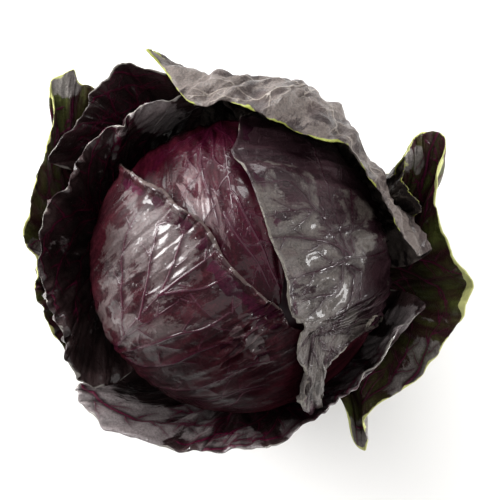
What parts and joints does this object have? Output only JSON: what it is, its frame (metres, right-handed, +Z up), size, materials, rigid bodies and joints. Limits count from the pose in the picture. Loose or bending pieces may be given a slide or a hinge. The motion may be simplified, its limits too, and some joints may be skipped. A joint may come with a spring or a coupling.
{
  "type": "red cabbage head",
  "caption": "Round head of red cabbage, standing on its cut stem, with purple head leaves wrapped over each other and loose wavy outer leaves spread around it.",
  "frame": {"origin": "middle of the stem's flat cut face, on which the head stands", "axes": "+Z up through the head; seen from above, +X is to the right and +Y up the page, as in the picture; the lilac-grey outer leaf lies on the +Y side"},
  "size_m": [0.2379, 0.2159, 0.1624],
  "materials": {
    "stem": "pale cut stem, matt and fibrous",
    "inner_head": "crimson-purple leaf, smooth and slightly glossy",
    "head_leaf": "dark purple leaf with crimson veins, waxy gloss",
    "waxy_leaf": "purple leaf under a grey waxy bloom",
    "purple_wrapper": "dark purple leaf with crimson veins, lighter at its rim",
    "lilac_wrapper": "lilac-grey back of a leaf with a yellow-green margin",
    "green_wrapper": "dark olive-green leaf with crimson veins and a pale yellow-green margin"
  },
  "bodies": {
    "root": {"stem": "stem", "inner_head": "inner_head", "head_leaf_top": "head_leaf", "head_leaf_left": "head_leaf", "head_leaf_right": "waxy_leaf", "wrapper_left_inner": "purple_wrapper", "wrapper_bottom": "purple_wrapper", "wrapper_top": "lilac_wrapper", "wrapper_left_middle": "purple_wrapper", "wrapper_right_inner": "lilac_wrapper", "wrapper_left_outer": "green_wrapper", "wrapper_right_outer": "green_wrapper"}
  },
  "joints": []
}
